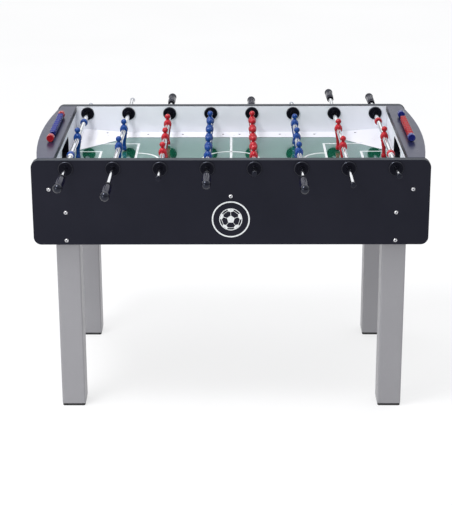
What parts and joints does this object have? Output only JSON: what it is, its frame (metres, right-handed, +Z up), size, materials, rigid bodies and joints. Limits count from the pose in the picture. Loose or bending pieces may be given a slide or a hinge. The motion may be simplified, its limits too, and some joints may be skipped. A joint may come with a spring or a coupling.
{
  "type": "foosball table",
  "caption": "Home table football table with a closed cabinet, spinning and sliding player bars, goals with ball outlets, score counters and square legs.",
  "frame": {"origin": "centre of the footprint, on the floor", "axes": "+X along the cabinet's long sides towards the right end, +Y from the front long side to the back one along the bars, +Z up"},
  "size_m": [1.292, 1.334, 0.8953],
  "materials": {
    "black_laminate": "satin",
    "white_laminate": "satin",
    "green_playfield": "gloss",
    "grey_paint": "satin",
    "black_plastic": "satin",
    "red_plastic": "gloss",
    "blue_plastic": "gloss",
    "blue_bar": "gloss",
    "red_bar": "gloss",
    "chrome": "polished",
    "zinc_screw": "satin",
    "clear_plastic": "gloss",
    "white_print": "satin",
    "black_rubber": "matte"
  },
  "bodies": {
    "cabinet": {"front_panel": "black_laminate", "back_panel": "black_laminate", "left_end_panel": "white_laminate", "right_end_panel": "white_laminate", "left_end_top": "black_laminate", "right_end_top": "black_laminate", "playfield": "green_playfield", "bottom_board": "black_laminate", "front_ramp": "white_laminate", "back_ramp": "white_laminate", "left_goal_box": "black_plastic", "right_goal_box": "black_plastic", "leg_front_left": "grey_paint", "leg_front_right": "grey_paint", "leg_back_left": "grey_paint", "leg_back_right": "grey_paint", "left_score_rail": "red_plastic", "right_score_rail": "blue_plastic"},
    "left_beads": {"left_score_beads": "blue_plastic"},
    "right_beads": {"right_score_beads": "red_plastic"},
    "rod_1_bearings": {"rod_1_bearing_front": "black_plastic", "rod_1_bearing_back": "black_plastic"},
    "bar_1": {"rod_1": "blue_bar", "rod_1_handle": "black_plastic", "rod_1_end_cap": "clear_plastic"},
    "rod_2_bearings": {"rod_2_bearing_front": "black_plastic", "rod_2_bearing_back": "black_plastic"},
    "bar_2": {"rod_2": "blue_bar", "rod_2_handle": "black_plastic", "rod_2_end_cap": "clear_plastic"},
    "rod_3_bearings": {"rod_3_bearing_front": "black_plastic", "rod_3_bearing_back": "black_plastic"},
    "bar_3": {"rod_3": "red_bar", "rod_3_handle": "black_plastic", "rod_3_end_cap": "clear_plastic"},
    "rod_4_bearings": {"rod_4_bearing_front": "black_plastic", "rod_4_bearing_back": "black_plastic"},
    "bar_4": {"rod_4": "blue_bar", "rod_4_handle": "black_plastic", "rod_4_end_cap": "clear_plastic"},
    "rod_5_bearings": {"rod_5_bearing_front": "black_plastic", "rod_5_bearing_back": "black_plastic"},
    "bar_5": {"rod_5": "red_bar", "rod_5_handle": "black_plastic", "rod_5_end_cap": "clear_plastic"},
    "rod_6_bearings": {"rod_6_bearing_front": "black_plastic", "rod_6_bearing_back": "black_plastic"},
    "bar_6": {"rod_6": "blue_bar", "rod_6_handle": "black_plastic", "rod_6_end_cap": "clear_plastic"},
    "rod_7_bearings": {"rod_7_bearing_front": "black_plastic", "rod_7_bearing_back": "black_plastic"},
    "bar_7": {"rod_7": "red_bar", "rod_7_handle": "black_plastic", "rod_7_end_cap": "clear_plastic"},
    "rod_8_bearings": {"rod_8_bearing_front": "black_plastic", "rod_8_bearing_back": "black_plastic"},
    "bar_8": {"rod_8": "red_bar", "rod_8_handle": "black_plastic", "rod_8_end_cap": "clear_plastic"}
  },
  "joints": [
    {"name": "rod_1_spin", "type": "hinge", "parent": "cabinet", "child": "rod_1_bearings", "pos_m": [-0.525, 0, 0.842], "axis": [0, 1, 0], "range_deg": [-220, 28]},
    {"name": "rod_1_slide", "type": "slide", "parent": "rod_1_bearings", "child": "bar_1", "axis": [0, 1, 0], "range_m": [-0.084, 0.094]},
    {"name": "rod_2_spin", "type": "hinge", "parent": "cabinet", "child": "rod_2_bearings", "pos_m": [-0.375, 0, 0.842], "axis": [0, 1, 0], "continuous": true},
    {"name": "rod_2_slide", "type": "slide", "parent": "rod_2_bearings", "child": "bar_2", "axis": [0, 1, 0], "range_m": [-0.164, 0.174]},
    {"name": "rod_3_spin", "type": "hinge", "parent": "cabinet", "child": "rod_3_bearings", "pos_m": [-0.225, 0, 0.842], "axis": [0, 1, 0], "continuous": true},
    {"name": "rod_3_slide", "type": "slide", "parent": "rod_3_bearings", "child": "bar_3", "axis": [0, 1, 0], "range_m": [-0.106, 0.096]},
    {"name": "rod_4_spin", "type": "hinge", "parent": "cabinet", "child": "rod_4_bearings", "pos_m": [-0.075, 0, 0.842], "axis": [0, 1, 0], "continuous": true},
    {"name": "rod_4_slide", "type": "slide", "parent": "rod_4_bearings", "child": "bar_4", "axis": [0, 1, 0], "range_m": [-0.046, 0.056]},
    {"name": "rod_5_spin", "type": "hinge", "parent": "cabinet", "child": "rod_5_bearings", "pos_m": [0.075, 0, 0.842], "axis": [0, 1, 0], "continuous": true},
    {"name": "rod_5_slide", "type": "slide", "parent": "rod_5_bearings", "child": "bar_5", "axis": [0, 1, 0], "range_m": [-0.056, 0.046]},
    {"name": "rod_6_spin", "type": "hinge", "parent": "cabinet", "child": "rod_6_bearings", "pos_m": [0.225, 0, 0.842], "axis": [0, 1, 0], "continuous": true},
    {"name": "rod_6_slide", "type": "slide", "parent": "rod_6_bearings", "child": "bar_6", "axis": [0, 1, 0], "range_m": [-0.096, 0.106]},
    {"name": "rod_7_spin", "type": "hinge", "parent": "cabinet", "child": "rod_7_bearings", "pos_m": [0.375, 0, 0.842], "axis": [0, 1, 0], "continuous": true},
    {"name": "rod_7_slide", "type": "slide", "parent": "rod_7_bearings", "child": "bar_7", "axis": [0, 1, 0], "range_m": [-0.174, 0.164]},
    {"name": "rod_8_spin", "type": "hinge", "parent": "cabinet", "child": "rod_8_bearings", "pos_m": [0.525, 0, 0.842], "axis": [0, 1, 0], "range_deg": [-28, 220]},
    {"name": "rod_8_slide", "type": "slide", "parent": "rod_8_bearings", "child": "bar_8", "axis": [0, 1, 0], "range_m": [-0.104, 0.074]},
    {"name": "left_beads_slide", "type": "slide", "parent": "cabinet", "child": "left_beads", "axis": [0, 1, 0], "range_m": [-0.0404, 0]},
    {"name": "right_beads_slide", "type": "slide", "parent": "cabinet", "child": "right_beads", "axis": [0, 1, 0], "range_m": [0, 0.0404]}
  ]
}
